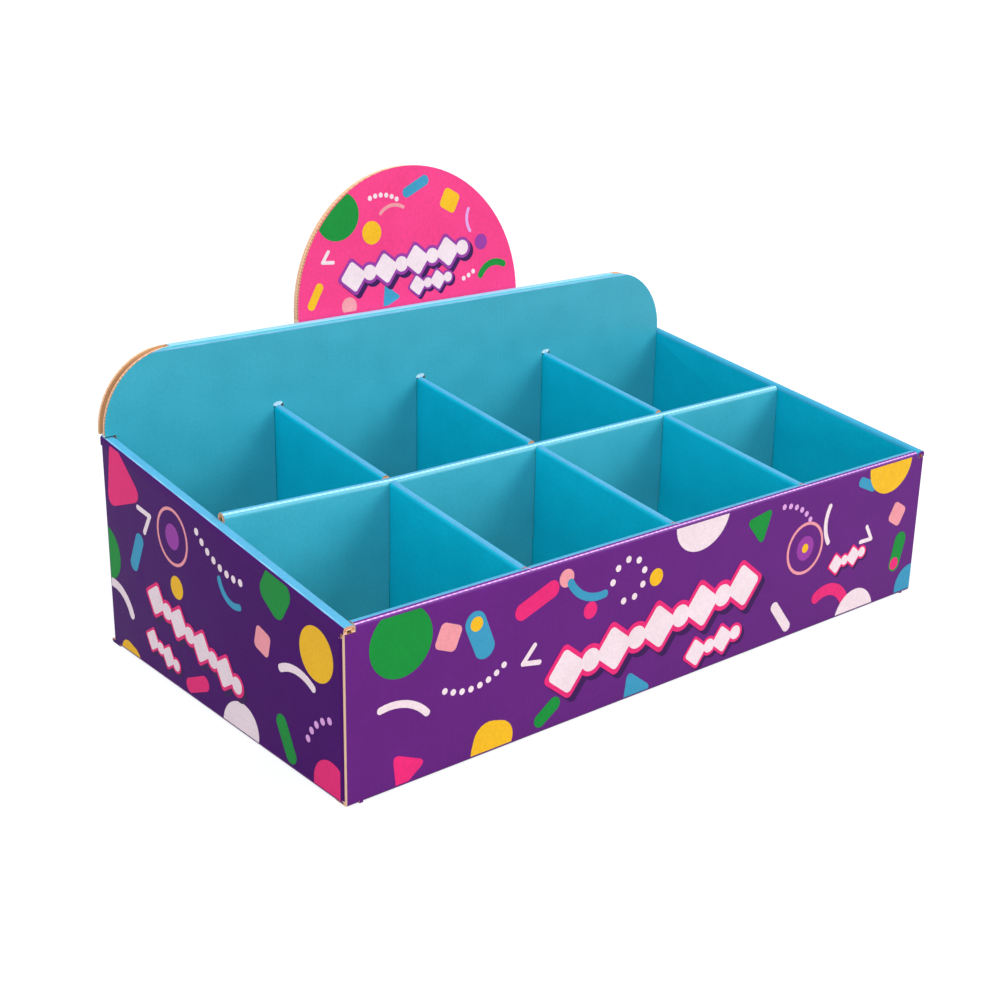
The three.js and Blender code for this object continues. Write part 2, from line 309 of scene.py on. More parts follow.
# How each finish of the board is made, with its colours and its other settings
FINISHES = {
    "Purple film": (printed_film, ("purple",), {}),
    # The sides' purple, painted darker for their shade
    "Purple film across": (printed_film, ("shaded_purple",), {"flutes": "Z", "gloss": 0.1}),
    # The inside blue with its painted sheen
    "Blue film": (printed_film, ("blue",), {"gloss": 0.6}),
    # The inside blue, painted deeper for the faces turned from the light
    "Blue film across": (printed_film, ("shaded_blue",), {"flutes": "Z", "gloss": 0.15}),
    "Blue top fold": (printed_film, ("band",), {}),
    # The band blue, painted darker for the right side's top
    "Blue side fold": (printed_film, ("shaded_far_band",), {"flutes": "Z"}),
    "Pink film": (printed_film, ("pink",), {}),
    # The creases pale with cracked film and a painted highlight along the fold
    "Purple crease": (worn_crease_with_highlight, ("purple", "crack_and_highlight"), {"least": 0.55, "most": 0.95}),
    "Side crease": (worn_crease_with_highlight, ("band", "blue_crack_and_highlight"), {"along": "Z", "least": 0.1, "most": 0.4}),
    "Blue crease": (worn_crease_with_highlight, ("band", "blue_crack_and_highlight"), {"along": "Z", "least": 0.2, "most": 0.6}),
    "Divider crease": (worn_crease_with_highlight, ("band", "blue_crack_and_highlight"), {"least": 0.6, "most": 0.9}),
    "Kraft liner": (kraft_liner, ("kraft",), {}),
    "Cut liner": (kraft_liner, ("edge",), {}),
    # Cut flutes painted darker for their shade, and lighter where they catch the light
    "Cut flutes": (cut_flutes, ("core", "edge"), {}),
    "Light cut flutes": (cut_flutes, ("core_in_painted_light", "edge"), {}),
}


def board_finish(name):
    """The finish of that name, in the colours that are set now."""
    make, parts, settings = FINISHES[name]
    colours = bpy.context.scene.print_colours
    return material_once(name, make, *(getattr(colours, part) for part in parts), **settings)


def edit(piece):
    """Leaves only this piece selected and opens it in edit mode."""
    if bpy.context.object and bpy.context.object.mode != "OBJECT":
        bpy.ops.object.mode_set(mode="OBJECT")
    bpy.ops.object.select_all(action="DESELECT")
    piece.select_set(True)
    bpy.context.view_layer.objects.active = piece
    bpy.ops.object.mode_set(mode="EDIT")


def select_faces(piece, test):
    """Selects the faces that pass a test of their middle and normal; the piece is in edit mode."""
    bpy.ops.mesh.select_mode(type="FACE")
    bpy.ops.mesh.select_all(action="DESELECT")
    bpy.ops.object.mode_set(mode="OBJECT")
    found = 0
    for face in piece.data.polygons:
        if test(face):
            face.select = True
            found += 1
    bpy.ops.object.mode_set(mode="EDIT")
    return found


def assign(piece, material):
    """Gives the selected faces this material."""
    if material.name not in piece.data.materials:
        piece.data.materials.append(material)
    piece.active_material_index = piece.data.materials.find(material.name)
    bpy.ops.object.material_slot_assign()


def dress(piece, name, test):
    """Gives the faces that pass a test the finish of that name, and counts them."""
    found = select_faces(piece, test)
    assign(piece, board_finish(name))
    return found


def merged_copy(node, name):
    """A copy of a construction piece with its loose triangles merged into flat faces."""
    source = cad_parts[node]
    piece = bpy.data.objects.new(name, source.data.copy())
    bpy.context.scene.collection.objects.link(piece)
    piece.data.materials.clear()
    edit(piece)
    bpy.ops.object.mode_set(mode="OBJECT")
    bpy.ops.mesh.customdata_custom_splitnormals_clear()
    bpy.ops.object.mode_set(mode="EDIT")
    bpy.ops.mesh.select_all(action="SELECT")
    bpy.ops.mesh.remove_doubles(threshold=0.001 * MM)
    bpy.ops.mesh.dissolve_limited(angle_limit=math.radians(0.5))
    return piece


def cut_across(piece, point, normal):
    """Cuts all faces along a plane, so that a colour can change there."""
    bpy.ops.mesh.select_all(action="SELECT")
    bpy.ops.mesh.bisect(plane_co=point, plane_no=normal, use_fill=False)


def finish_piece(piece, slot, *nodes):
    """Closes edit mode, rounds the folds' shading and fixes the piece to the frame."""
    bpy.ops.object.mode_set(mode="OBJECT")
    bpy.ops.object.shade_smooth_by_angle(angle=math.radians(32))
    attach(piece, "root")
    if nodes:
        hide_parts(*nodes)


def recess_cores(piece, core, test):
    """Draws the cut liners as thin borders and lets the cut flutes lie behind them."""
    sizes = bpy.context.scene.board_sizes
    index = piece.data.materials.find("Cut liner")
    smallest = 2 * MM * MM
    found = select_faces(piece, lambda face: (
        face.material_index == index and face.area > smallest and test(face)))
    if not found:
        raise RuntimeError(f"{piece.name} has no raw edge to finish")
    bpy.ops.mesh.inset(thickness=sizes.liner, depth=-sizes.core_depth, use_even_offset=True)
    assign(piece, board_finish(core))


def near(value, target, reach=0.06 * MM):
    return abs(value - target) < reach


TRAY_FINISHES = (
    "Purple film", "Purple film across", "Blue film", "Blue film across", "Blue top fold", "Blue side fold",
    "Purple crease", "Side crease", "Blue crease", "Kraft liner", "Cut liner",
)


def tray_finish(face):
    """Which finish a face of the tray has, from its place in the folded sheet."""
    sizes = bpy.context.scene.board_sizes
    middle, normal = face.center, face.normal
    from_front = middle.y - FRONT_Y
    from_back = BACK_Y - middle.y
    from_side = HALF_WIDTH - abs(middle.x)
    inward = -normal.x if middle.x > 0 else normal.x
    side_top = FRONT_TOP + SLOPE * from_front
    # The underside and the bends that rise from it
    at_rim = min(from_front, from_back, from_side) < BEND_REACH
    if normal.z < -0.1 and middle.z < sizes.fold and (at_rim or middle.z < SLACK / 2):
        return "Purple film"
    # The outside, where only the left wall's fold stands open in front
    if near(from_front, 0) and normal.y < -0.9:
        open_end = from_side < sizes.wall and middle.z > FRONT_TOP - 2 * sizes.ply and middle.x < 0
        return "Cut liner" if open_end else "Purple film"
    if near(from_back, 0) and normal.y > 0.9:
        return "Purple film"
    # The outer sides and their bends take the purple painted darker for their shade
    if near(from_side, 0) and inward < -0.9 and middle.z < side_top:
        return "Purple film across"
    if abs(normal.z) < 0.05 and inward < -0.05 and abs(normal.y) > 0.05 and from_side < BEND_REACH + SLACK:
        return "Purple film across"
    # The inside
    if near(from_front, sizes.wall) and normal.y > 0.9:
        return "Blue film"
    if near(from_back, sizes.back_wall) and normal.y < -0.9:
        return "Blue film"
    # The inner sides take the blue painted deeper for their shade
    if near(from_side, sizes.wall) and inward > 0.9:
        return "Blue film across"
    # The folded tops of the front, the back and the sides
    crosswise = normal.z > 0.05 and abs(normal.x) < 0.02
    if crosswise and middle.z > FRONT_TOP - sizes.fold and from_front < sizes.wall < from_side:
        if normal.y <= -0.7 or (normal.z > 0.9 and from_front < FRONT_SPLIT * sizes.wall):
            return "Purple film"
        # The outer crease pales with cracked film and a painted highlight
        return "Purple crease" if normal.y < -0.2 else "Blue top fold"
    if crosswise and middle.z > BACK_TOP - sizes.fold:
        return "Blue film" if 0.2 < abs(normal.y) < 0.9 else "Blue crease"
    on_side_top = side_top - BEND_REACH < middle.z < side_top + 3 * SLACK
    if normal.z > 0.05 and abs(normal.y) < 0.2 and from_side < sizes.wall and on_side_top:
        # The side top's outer bend takes the purple painted darker for its shade
        if inward < -0.3 and normal.z < 0.72:
            return "Purple film across"
        # The right side's folded top takes the blue painted darker for its shade
        if middle.x > 0:
            return "Blue side fold"
        return "Side crease" if inward < -0.4 and normal.z < 0.93 else "Blue top fold"
    # Bare liners between the plies, and cut edges
    if abs(normal.z) > 0.9:
        flat = near(middle.z, sizes.ply) or (normal.z < -0.9 and middle.z > FRONT_TOP / 2)
        return "Kraft liner" if flat else "Cut liner"
    in_wall = from_front < sizes.wall or from_back < sizes.back_wall
    if abs(normal.y) > 0.9 and in_wall and from_side > sizes.wall + 2 * SLACK:
        return "Kraft liner"
    if abs(normal.x) > 0.9 and (near(from_side, sizes.ply) or near(from_side, sizes.wall - sizes.ply)):
        return "Kraft liner"
    return "Cut liner"


class BOX_OT_tray(bpy.types.Operator):
    """Builds the folded tray: printed outside, blue inside, kraft between its plies, raw at its cut edges"""

    bl_idname = "display_box.tray"
    bl_label = "Tray"

    def execute(self, context):
        sizes = context.scene.board_sizes
        piece = merged_copy("tray", "tray_sheet")
        self.shorten_back_wall(piece)
        cut_across(piece, (0, FRONT_Y + FRONT_SPLIT * sizes.wall, 0), (0, 1, 0))
        for name in TRAY_FINISHES:
            if not dress(piece, name, lambda face: tray_finish(face) == name):
                raise RuntimeError(f"the tray has no face for {name}")

        def outer_ply(face):
            return face.center.y > BACK_Y - sizes.back_wall / 2

        def bare_edge(face):
            return abs(face.normal.x) > 0.9 and face.center.y < FRONT_Y + sizes.ply

        # The back wall's outer ply has its cut flutes painted lighter, as lit; the rest are painted darker, as
        # shaded
        recess_cores(piece, "Light cut flutes", lambda face: face.center.z > FRONT_TOP and outer_ply(face))
        recess_cores(piece, "Cut flutes", lambda face: (
            face.center.z > FOOT_HEIGHT and not outer_ply(face) and not bare_edge(face)))
        finish_piece(piece, "tray_board", "tray")
        return {"FINISHED"}

    @staticmethod
    def shorten_back_wall(piece):
        """Draws in the back wall's round right corner, which stands just inside the side wall."""
        sizes = bpy.context.scene.board_sizes
        bpy.ops.mesh.select_mode(type="VERT")
        bpy.ops.mesh.select_all(action="DESELECT")
        bpy.ops.object.mode_set(mode="OBJECT")
        for vertex in piece.data.vertices:
            place = vertex.co
            in_wall = place.y > BACK_Y - sizes.back_wall - SLACK
            in_corner = place.x > HALF_WIDTH - BACK_CORNER - SLACK and place.z > SIDE_BACK_TOP
            # The corner's foot lies a little below the side wall's top
            at_foot = place.x > HALF_WIDTH - 1 * MM and place.z > SIDE_BACK_TOP - 0.5 * MM
            vertex.select = in_wall and (in_corner or at_foot)
        bpy.ops.object.mode_set(mode="EDIT")
        bpy.ops.transform.translate(value=(2 * SLACK - sizes.wall, 0, 0))


class BOX_OT_header(bpy.types.Operator):
    """Builds the half-round header card of two plies, pink in front and kraft behind"""

    bl_idname = "display_box.header"
    bl_label = "Header card"

    def execute(self, context):
        piece = merged_copy("header_card", "header_sheet")
        outward = Vector((0, math.cos(HEADER_LEAN), -math.sin(HEADER_LEAN)))
        hinge = Vector((0, BACK_Y, BACK_TOP))
        seam = HEADER_THICKNESS / 2
        cut_across(piece, hinge + outward * seam, outward)
        dress(piece, "Cut liner", lambda face: abs(face.normal.y) <= 0.9)
        dress(piece, "Kraft liner", lambda face: face.normal.y > 0.9)
        dress(piece, "Pink film", lambda face: face.normal.y < -0.9)

        def depth(face):
            return (face.center - hinge).dot(outward)

        above = BACK_TOP + 0.5 * MM
        # The front ply's cut flutes are painted darker, as shaded; the rear ply's lighter, as lit
        recess_cores(piece, "Cut flutes", lambda face: face.center.z > above and depth(face) < seam)
        recess_cores(piece, "Light cut flutes", lambda face: face.center.z > above and depth(face) > seam)
        finish_piece(piece, "header_board", "header_card")
        return {"FINISHED"}


def divider_sheet(context, node, along):
    """One folded divider: blue film over its fold and raw at its ends; the long divider pales along its fold
    with cracked film and a painted highlight.
    """
    sizes = context.scene.board_sizes
    piece = merged_copy(node, f"{node}_sheet")
    across = "x" if along == "Y" else "y"
    low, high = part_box(node)
    centre = (getattr(low, across) + getattr(high, across)) / 2
    half = (getattr(high, across) - getattr(low, across)) / 2

    def offset(face):
        return getattr(face.center, across) - centre

    def out(face):
        return getattr(face.normal, across) * (1 if offset(face) > 0 else -1)

    def skin(face):
        return out(face) > 0.3 and abs(offset(face)) > half - sizes.ply * 0.9

    def fold(face):
        on_top = face.normal.z > 0.7 and abs(getattr(face.normal, along.lower())) < 0.3
        return on_top and abs(offset(face)) < half and face.center.z > FRONT_TOP - 2 * MM

    dress(piece, "Cut liner", lambda face: True)
    dress(piece, "Kraft liner", lambda face: abs(getattr(face.normal, across)) > 0.3 and not skin(face))
    # The cross dividers, turned from the light, take the blue painted deeper for their shade
    dress(piece, "Blue film" if along == "X" else "Blue film across", skin)
    if not dress(piece, "Blue top fold", fold):
        raise RuntimeError(f"{node} has no fold on top")
    if along == "X":
        dress(piece, "Divider crease", lambda face: fold(face) and 0.5 < abs(offset(face)) / half < 0.7)
    # The divider's cut flutes are painted darker for their shade
    recess_cores(piece, "Cut flutes", lambda face: face.center.z > FOOT_HEIGHT)
    finish_piece(piece, "divider_board", node)


class BOX_OT_dividers(bpy.types.Operator):
    """Builds the long divider and the three cross dividers that slot into it"""

    bl_idname = "display_box.dividers"
    bl_label = "Dividers"

    def execute(self, context):
        divider_sheet(context, "long_divider", "X")
        for number in (1, 2, 3):
            divider_sheet(context, f"cross_divider_{number}", "Y")
        return {"FINISHED"}


def pick_ahead(centre, direction):
    """Of the selected outline, keeps the edges that lie ahead of its centre."""
    mesh = bmesh.from_edit_mesh(bpy.context.object.data)
    chosen = []
    for edge in mesh.edges:
        middle = (edge.verts[0].co + edge.verts[1].co) / 2 - centre
        if edge.select and middle.dot(direction) > 1e-7:
            chosen.append(edge)
    bpy.ops.mesh.select_all(action="DESELECT")
    for edge in chosen:
        edge.select_set(True)
    mesh.select_flush(False)
    bmesh.update_edit_mesh(bpy.context.object.data)


def draw_disc(x, y, radius, stretch=1.0, turn=0.0, corners=56):
    """A filled round or, with few corners, a plain polygon."""
    centre = (x * MM, y * MM, 0)
    bpy.ops.mesh.primitive_circle_add(vertices=corners, radius=radius * MM, fill_type="NGON", location=centre)
    if stretch != 1.0:
        bpy.ops.transform.resize(value=(stretch, 1, 1), center_override=centre)
    if turn:
        bpy.ops.transform.rotate(value=-math.radians(turn), orient_axis="Z", center_override=centre)


def draw_soft_polygon(x, y, radius, corners, turn=0.0, softness=0.3):
    """A polygon with round corners."""
    draw_disc(x, y, radius, turn=turn, corners=corners)
    bpy.ops.mesh.bevel(affect="VERTICES", offset=radius * softness * MM, segments=6)


def draw_bar(x, y, length, width, turn=0.0):
    """A straight bar with round ends."""
    heading = Vector((math.cos(math.radians(turn)), math.sin(math.radians(turn)), 0))
    start = Vector((x * MM, y * MM, 0)) - heading * (length - width) / 2 * MM
    bpy.ops.mesh.primitive_circle_add(
        vertices=24, radius=width / 2 * MM, fill_type="NGON", location=start,
        rotation=(0, 0, math.radians(turn + 90)))
    pick_ahead(start, heading)
    bpy.ops.transform.translate(value=heading * (length - width) * MM)


def draw_ring(x, y, radius, width):
    """A round line."""
    draw_disc(x, y, radius)
    bpy.ops.mesh.inset(thickness=width * MM)
    bpy.ops.mesh.delete(type="FACE")


def draw_stroke(x, y, radius, width, start, sweep):
    """Part of a round line, with round ends, spun about its centre."""
    angle = math.radians(start)
    centre = Vector((x * MM, y * MM, 0))
    end = centre + Vector((math.cos(angle), math.sin(angle), 0)) * radius * MM
    heading = Vector((-math.sin(angle), math.cos(angle), 0)) * math.copysign(1, sweep)
    bpy.ops.mesh.primitive_circle_add(
        vertices=16, radius=width / 2 * MM, fill_type="NGON", location=end, rotation=(0, 0, angle))
    pick_ahead(end, heading)
    steps = max(4, round(abs(sweep) / 6))
    bpy.ops.mesh.spin(steps=steps, angle=-math.radians(sweep), center=centre, axis=(0, 0, 1))


def draw_chevron(x, y, length, width, turn, spread=58.0):
    """Two bars that meet in a point."""
    reach = (length - width) / 2
    for side in (-1, 1):
        heading = turn + side * spread / 2
        angle = math.radians(heading)
        draw_bar(x + math.cos(angle) * reach, y + math.sin(angle) * reach, length, width, heading)
        yield


def draw_dots(x, y, radius, step, count, turn, bend=0.0):
    """A row of dots, straight or along a curve."""
    angle = turn
    for _ in range(count):
        draw_disc(x, y, radius, corners=16)
        yield
        x += step * math.cos(math.radians(angle))
        y += step * math.sin(math.radians(angle))
        angle += bend


def draw_once(draw):
    def steps(*arguments):
        draw(*arguments)
        yield
    return steps


SHAPES = {
    "disc": draw_once(draw_disc),
    "soft": draw_once(draw_soft_polygon),
    "bar": draw_once(draw_bar),
    "ring": draw_once(draw_ring),
    "stroke": draw_once(draw_stroke),
    "chevron": draw_chevron,
    "dots": draw_dots,
}


def garland(x, y, turn, height, count, outline):
    """Lines for a slanting row of cream diamonds and dots that share one outline and a flat shadow."""
    lines = []
    rim = height * 0.1
    drop = height * 0.12
    heading = math.radians(turn)
    for layer, ink, grow, shift in ((0, "shade", rim, drop), (1, outline, rim, 0), (2, "cream", 0, 0)):
        for number in range(count):
            along = number * height * 0.62
            place = (x + shift + along * math.cos(heading), y - shift + along * math.sin(heading))
            if number % 2:
                lines.append((layer, ink, "disc", *place, height * 0.24 + grow))
            else:
                lines.append((layer, ink, "soft", *place, height * 0.5 + 1.3 * grow, 4, turn, 0.2))
    return tuple(lines)


# Each line is a layer, an ink, a shape and its sizes in millimetres and degrees, on a panel
# seen from outside with its origin at the middle of its lower edge
FRONT_PRINT = (
    (0, "green", "disc", -170, 71, 17),
    (0, "salmon", "soft", -144, 66, 9, 4, 22),
    (0, "cream", "stroke", -176, 16, 26, 3.6, 40, 62),
    (0, "sky", "bar", -126, 62, 26, 12, 112),
    (0, "yellow", "disc", -128, 68, 3.6),
    (0, "magenta", "soft", -168, 8, 12, 3, 36, 0.35),
    (0, "cream", "dots", -146, 40, 1.6, 5.2, 8, -22, 9),
    (0, "yellow", "soft", -118, 4, 17, 4, 30, 0.55),
    (0, "cream", "chevron", -100, 40, 13, 2.6, 18),
    (0, "magenta", "bar", -92, 70, 28, 9, 20),
    (0, "salmon", "disc", -74, 76.6, 4.6),
    (0, "sky", "stroke", -52, 84, 22, 4.2, 208, 70),
    (0, "green", "bar", -84, 10, 18, 7.6, 34),
    (0, "cream", "disc", 18, 86, 17, 1.15, 20),
    (0, "magenta", "disc", -58, 56, 4.4),
    (0, "sky", "soft", -26, 4, 13, 3, 22, 0.35),
    (0, "cream", "bar", 84, 14, 24, 6, -52),
    (0, "yellow", "disc", -14, 62, 4.6),
    (0, "cream", "dots", -36, 55, 1.8, 7.4, 8, 4, 40),
    (0, "green", "soft", 62, 72, 12, 3, 70, 0.35),
    (0, "lilac", "dots", 80, 78, 1.6, 5.2, 6, -8, -10),
    (0, "salmon", "ring", 100, 50, 15, 1.7),
    (0, "plum", "disc", 100, 50, 7),
    (0, "yellow", "disc", 100, 50, 2.6),
    (0, "magenta", "stroke", 122, 2, 18, 7, 30, 90),
    (0, "cream", "stroke", 136, 60, 20, 3, 150, 64),
    (0, "sky", "bar", 150, 76, 17, 6, -24),
    (0, "yellow", "disc", 170, 84, 17, 1.1, 10),
    (0, "salmon", "soft", 180, 52, 8.6, 4, 14),
    (0, "cream", "disc", 148, -3, 17),
    (0, "green", "bar", 184, 28, 24, 10, 76),
    (0, "magenta", "disc", 182, 21, 3.8),
    (0, "cream", "chevron", 158, 42, 12, 2.4, 150),
    (0, "sky", "disc", 198, 4, 13),
    *garland(128, 34, 5, 12, 4, "magenta"),
    *garland(18, 12, 6, 16, 4, "magenta"),
    *garland(-72, 28, 6, 25, 9, "magenta"),
)

LEFT_PRINT = (
    (0, "magenta", "soft", -88, 96, 24, 3, 20, 0.4),
    (0, "cream", "chevron", -58, 86, 15, 2.8, 206, 64),
    (0, "green", "disc", -108, 52, 15),
    (0, "cream", "stroke", -102, 16, 20, 5, 24, 70),
    (0, "sky", "bar", -74, 62, 24, 8, 64),
    (0, "yellow", "disc", -34, 56, 6),
    (0, "salmon", "ring", -36, 82, 15, 1.6),
    (0, "plum", "disc", -36, 82, 6.6),
    (0, "cream", "dots", -12, 92, 1.9, 6, 8, -40, 7),
    (0, "yellow", "soft", -88, -4, 15, 4, 30, 0.5),
    (0, "magenta", "bar", -18, 10, 24, 8, 24),
    (0, "cream", "disc", 22, 2, 14, 1.2, 30),
    (0, "sky", "stroke", 20, 78, 13, 3.4, 196, 96),
    (0, "green", "soft", 56, 84, 15, 4, 12, 0.4),
    (0, "salmon", "soft", 44, 56, 8.6, 4, 30),
    (0, "cream", "stroke", 72, 26, 26, 4, 60, 60),
    (0, "green", "bar", 62, 14, 24, 9, 118),
    (0, "lilac", "dots", 80, 22, 1.8, 6, 5, 60, -12),
    (0, "magenta", "disc", 98, 4, 14),
    (0, "yellow", "disc", 88, 66, 13),
    *garland(-62, 18, -13, 13, 4, "magenta"),
    *garland(-56, 42, -13, 18, 8, "magenta"),
)

RIGHT_PRINT = (
    (0, "yellow", "disc", 98, 100, 17, 1.2, 20),
    (0, "green", "soft", -98, 6, 17, 4, 30, 0.5),
    (0, "sky", "stroke", 54, 98, 12, 3.2, 220, 90),
    (0, "magenta", "bar", 86, 62, 30, 9, 66),
    (0, "cream", "dots", 64, 82, 1.9, 6.2, 7, -84, 5),
    (0, "cream", "disc", 44, -2, 17),
    (0, "salmon", "soft", -44, 80, 8.6, 4, 18),
    (0, "green", "bar", -6, 88, 24, 8, -28),
    (0, "cream", "stroke", -24, 4, 26, 6, 40, 84),
    (0, "sky", "soft", 84, 20, 12, 3, 30, 0.35),
    (0, "yellow", "disc", -50, 12, 5),
    (0, "salmon", "ring", -84, 58, 15, 1.6),
    (0, "plum", "disc", -84, 58, 6.6),
    (0, "cream", "stroke", 16, 92, 14, 3, 20, 66),
    *garland(8, 22, 8, 13, 4, "magenta"),
    *garland(-46, 38, 8, 18, 8, "magenta"),
)

BACK_PRINT = (
    (0, "yellow", "disc", -190, 60, 17),
    (0, "green", "soft", -120, 4, 19, 4, 20, 0.5),
    (0, "cream", "stroke", -140, 56, 26, 4, 40, 80),
    (0, "magenta", "bar", -84, 96, 32, 9, 58),
    (0, "sky", "dots", -160, 116, 1.9, 6.2, 9, -20, -5),
    (0, "cream", "chevron", -74, 44, 13, 2.6, 200),
    (0, "sky", "disc", -30, 14, 14, 1.3, 30),
    (0, "salmon", "soft", 22, 44, 8.6, 4, 20),
    (0, "cream", "disc", 86, -2, 19),
    (0, "yellow", "disc", 64, 62, 5),
    (0, "magenta", "stroke", 120, 50, 19, 6, 120, 90),
    (0, "green", "soft", 152, 96, 11, 3, 30),
    (0, "cream", "dots", 122, 20, 1.9, 6.2, 8, 16, 4),
    (0, "sky", "stroke", 96, 118, 14, 3.2, 220, 90),
    (0, "magenta", "soft", -16, 68, 9, 3, 12),
    (0, "yellow", "disc", 192, 24, 15),
)

HEADER_PRINT = (
    (0, "green", "disc", -48, 54, 13, 1.1, 30),
    (0, "cream", "dots", -26, 62, 1.4, 3.8, 6, 14, -10),
    (0, "sky", "bar", 6, 66, 20, 6, 24),
    (0, "yellow", "soft", 30, 56, 8.4, 4, 16),
    (0, "salmon", "stroke", -10, 44, 13, 2, 60, 76),
    (0, "lilac", "stroke", 54, 44, 12, 2, 150, 64),
    (0, "plum", "disc", 52, 30, 4.6),
    (0, "cream", "chevron", -60, 30, 9, 2, 24),
    (0, "yellow", "bar", -66, 12, 16, 5, 58),
    (0, "salmon", "disc", -44, 4, 5),
    (0, "green", "stroke", 62, 4, 13, 4, 60, 90),
    (0, "sky", "soft", -16, 6, 8, 3, 22, 0.25),
    (0, "yellow", "disc", -26, 43, 6.5),
    (0, "cream", "dots", 38, 10, 1.4, 4, 3, 20, 8),
    *garland(4, 10, 6, 12, 4, "plum"),
    *garland(-40, 20, 6, 18, 8, "plum"),
)

# Each shape lies a hair above the one before, so that shapes may cross
LAYING_STEP = 0.001 * MM


def panel_place(origin, along, up):
    """The turn and place that lay a drawing on a panel."""
    out = along.cross(up)
    turn = Matrix((along, up, out)).transposed().to_4x4()
    return Matrix.Translation(origin) @ turn


def print_panel(context, name, lines, place, limits, flutes="X"):
    """Draws the shapes of one panel, trims them at its limits, and lays them on the board as ink."""
    sizes, colours = context.scene.board_sizes, context.scene.print_colours
    if context.object and context.object.mode != "OBJECT":
        bpy.ops.object.mode_set(mode="OBJECT")
    bpy.ops.object.select_all(action="DESELECT")
    piece = bpy.data.objects.new(name, bpy.data.meshes.new(name))
    context.scene.collection.objects.link(piece)
    edit(piece)
    bpy.ops.mesh.select_mode(type="EDGE")
    order = 0
    for layer, ink, shape, *measures in lines:
        suffix = " ink" if flutes == "X" else " ink across"
        material = material_once(ink.capitalize() + suffix, printed_film, getattr(colours, ink), flutes)
        for _ in SHAPES[shape](*measures):
            bpy.ops.mesh.select_all(action="SELECT")
            assign(piece, material)
            bpy.ops.transform.translate(value=(0, 0, layer * sizes.ink + order * LAYING_STEP))
            order += 1
            bpy.ops.mesh.hide(unselected=False)
    bpy.ops.mesh.reveal(select=True)
    for point, normal in limits:
        bpy.ops.mesh.select_all(action="SELECT")
        bpy.ops.mesh.bisect(plane_co=point, plane_no=normal, use_fill=False, clear_outer=True)
    if select_faces(piece, lambda face: face.normal.z < 0):
        bpy.ops.mesh.flip_normals()
    bpy.ops.object.mode_set(mode="OBJECT")
    if not piece.data.polygons:
        raise RuntimeError(f"{name} came out empty")
    body = piece.modifiers.new("Ink", "SOLIDIFY")
    body.thickness = sizes.ink
    body.offset = 1
    bpy.ops.object.modifier_apply(modifier=body.name)
    piece.matrix_world = place
    bpy.ops.object.transform_apply(location=True, rotation=True, scale=True)
    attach(piece, "root")


def end_limits(reach):
    """Limits that trim a drawing at both its ends."""
    return ((-reach, 0, 0), (-1, 0, 0)), ((reach, 0, 0), (1, 0, 0))


# Unprinted strips at the ends of the panels, where the walls meet
FRONT_MARGIN = 0.7 * MM
SIDE_MARGIN = 4.2 * MM
BACK_MARGIN = 2.8 * MM


class BOX_OT_walls_print(bpy.types.Operator):
    """Prints the front, the sides and the back with discs, arcs, bars, dots and garlands"""

    bl_idname = "display_box.walls_print"
    bl_label = "Print on the walls"

    def execute(self, context):
        fold = context.scene.board_sizes.fold
        up = Vector((0, 0, 1))
        low = ((0, fold, 0), (0, -1, 0))

        front_top = ((0, FRONT_TOP - fold, 0), (0, 1, 0))
        print_panel(context, "front_print", FRONT_PRINT,
                    panel_place(Vector((0, FRONT_Y, 0)), Vector((1, 0, 0)), up),
                    (low, front_top, *end_limits(HALF_WIDTH - FRONT_MARGIN)))

        middle_y = (FRONT_Y + BACK_Y) / 2
        side_reach = (BACK_Y - FRONT_Y) / 2 - SIDE_MARGIN
        side_height = (FRONT_TOP + SIDE_BACK_TOP) / 2 - fold
        for name, lines, side in (("left_print", LEFT_PRINT, -1), ("right_print", RIGHT_PRINT, 1)):
            side_top = ((0, side_height, 0), (-side * SLOPE, 1, 0))
            print_panel(context, name, lines,
                        panel_place(Vector((side * HALF_WIDTH, middle_y, 0)), Vector((0, side, 0)), up),
                        (low, side_top, *end_limits(side_reach)), "Z")

        back_top = ((0, BACK_TOP - fold, 0), (0, 1, 0))
        print_panel(context, "back_print", BACK_PRINT,
                    panel_place(Vector((0, BACK_Y, 0)), Vector((-1, 0, 0)), up),
                    (low, back_top, *end_limits(HALF_WIDTH - BACK_MARGIN)))
        return {"FINISHED"}


class BOX_OT_slot_wear(bpy.types.Operator):
    """Marks the walls where the cross dividers have rubbed the film at their slots"""

    bl_idname = "display_box.slot_wear"
    bl_label = "Wear at the slots"

    def execute(self, context):
        sizes = context.scene.board_sizes
        # A scuff over each slot in the back wall, and a pale curl at each in the front wall's top
        rubbed, worn = [], []
        for number in (1, 2, 3):
            low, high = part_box(f"cross_divider_{number}")
            middle = (low.x + high.x) / 2 / MM
            rubbed.append((0, "scuff", "disc", middle - 0.4, high.z / MM + 0.5, 1.2, 2.5, 6))
            worn.append((0, "lilac", "stroke", middle - 2.4, 1.4, 4, 0.5, -18, 70))
        print_panel(context, "back_slot_wear", rubbed,
                    panel_place(Vector((0, BACK_Y - sizes.back_wall, 0)), Vector((1, 0, 0)), Vector((0, 0, 1))),
                    ())
        print_panel(context, "front_slot_wear", worn,
                    panel_place(Vector((0, FRONT_Y, FRONT_TOP)), Vector((1, 0, 0)), Vector((0, 1, 0))),
                    ())
        return {"FINISHED"}


